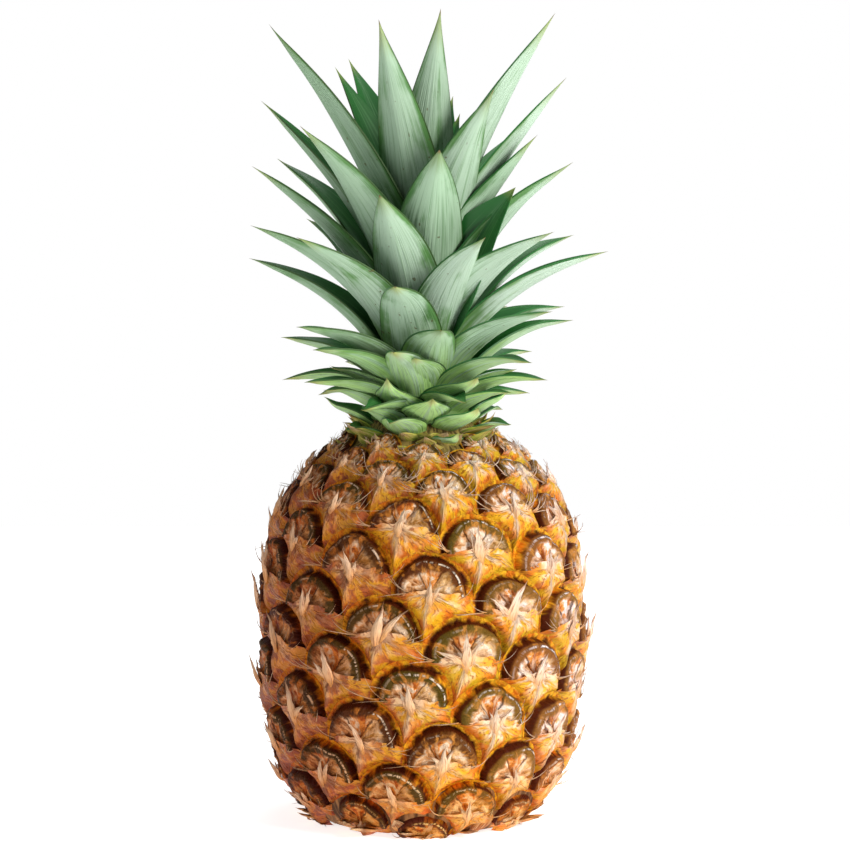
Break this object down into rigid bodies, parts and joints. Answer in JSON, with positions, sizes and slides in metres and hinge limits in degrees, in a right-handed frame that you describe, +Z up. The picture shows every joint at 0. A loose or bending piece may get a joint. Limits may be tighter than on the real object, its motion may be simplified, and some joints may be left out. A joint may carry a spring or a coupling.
{
  "type": "pineapple",
  "caption": "Ripe whole pineapple standing upright: barrel fruit covered in spiralling eyes with dry bract tips, and a crown of pointed green leaves.",
  "frame": {"origin": "middle of the base, on the surface that the fruit stands on", "axes": "+Z up along the fruit's axis to the crown, front faces -Y, +X to the right seen from the front"},
  "size_m": [0.135, 0.1354, 0.3051],
  "materials": {
    "rind": "leathery ripe rind, golden orange and tan with brown grooves, satin",
    "stalk": "dry fibrous cut end, matt",
    "dry_leaf": "dried scale leaves, yellow brown, matt",
    "leaf": "tough green leaf with a pale waxy bloom, satin"
  },
  "bodies": {
    "root": {"fruit": "rind", "stalk": "stalk", "collar": "dry_leaf", "crown": "leaf"}
  },
  "joints": []
}
